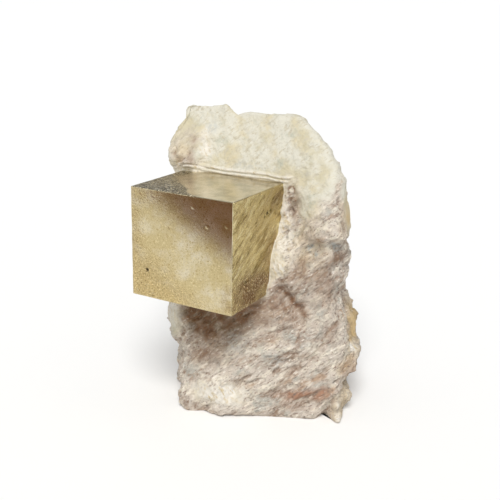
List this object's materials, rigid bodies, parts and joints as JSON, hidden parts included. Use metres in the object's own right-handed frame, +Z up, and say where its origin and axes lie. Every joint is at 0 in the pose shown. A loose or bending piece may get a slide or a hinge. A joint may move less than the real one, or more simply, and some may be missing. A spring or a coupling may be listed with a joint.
{
  "type": "pyrite specimen",
  "caption": "Cube of pyrite grown in a broken upright lump of pale marl that stands on a flat face.",
  "frame": {"origin": "middle of the flat face that the stone rests on", "axes": "+Z up, the specimen's longest extent; -Y is the front, where the crystal stands out of the stone"},
  "size_m": [0.0495, 0.0441, 0.0651],
  "materials": {
    "pyrite": "natural crystal face, metallic, lightly tarnished",
    "marl": "broken, matt, pale cream to pinkish grey"
  },
  "bodies": {
    "root": {"pyrite_crystal": "pyrite", "marl_matrix": "marl"}
  },
  "joints": []
}
